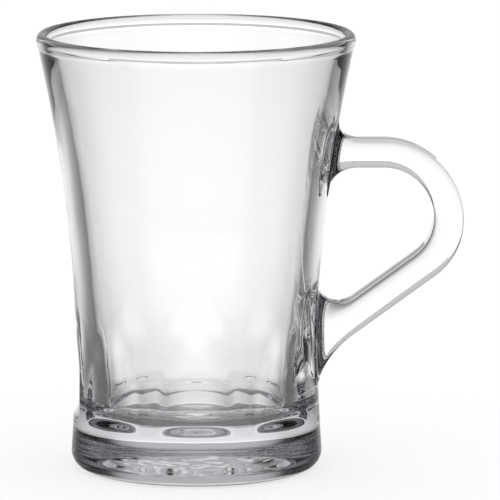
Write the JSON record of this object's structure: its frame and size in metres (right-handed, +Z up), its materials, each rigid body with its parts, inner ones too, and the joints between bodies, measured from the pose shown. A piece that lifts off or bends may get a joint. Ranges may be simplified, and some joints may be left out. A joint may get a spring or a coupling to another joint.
{
  "type": "glass mug",
  "caption": "Clear glass mug with a flared bowl, a thick foot, flats around the lower wall and a looped side handle.",
  "frame": {"origin": "middle of the bounding box on the standing plane; the bowl's own axis stands at x = -14.7 mm", "axes": "+Z up along the bowl's axis, +X out through the handle, the XZ plane is the mirror plane"},
  "size_m": [0.1168, 0.0874, 0.12],
  "materials": {
    "clear_glass": "clear pressed glass, fire-polished and smooth"
  },
  "bodies": {
    "root": {"bowl": "clear_glass", "handle": "clear_glass"}
  },
  "joints": []
}
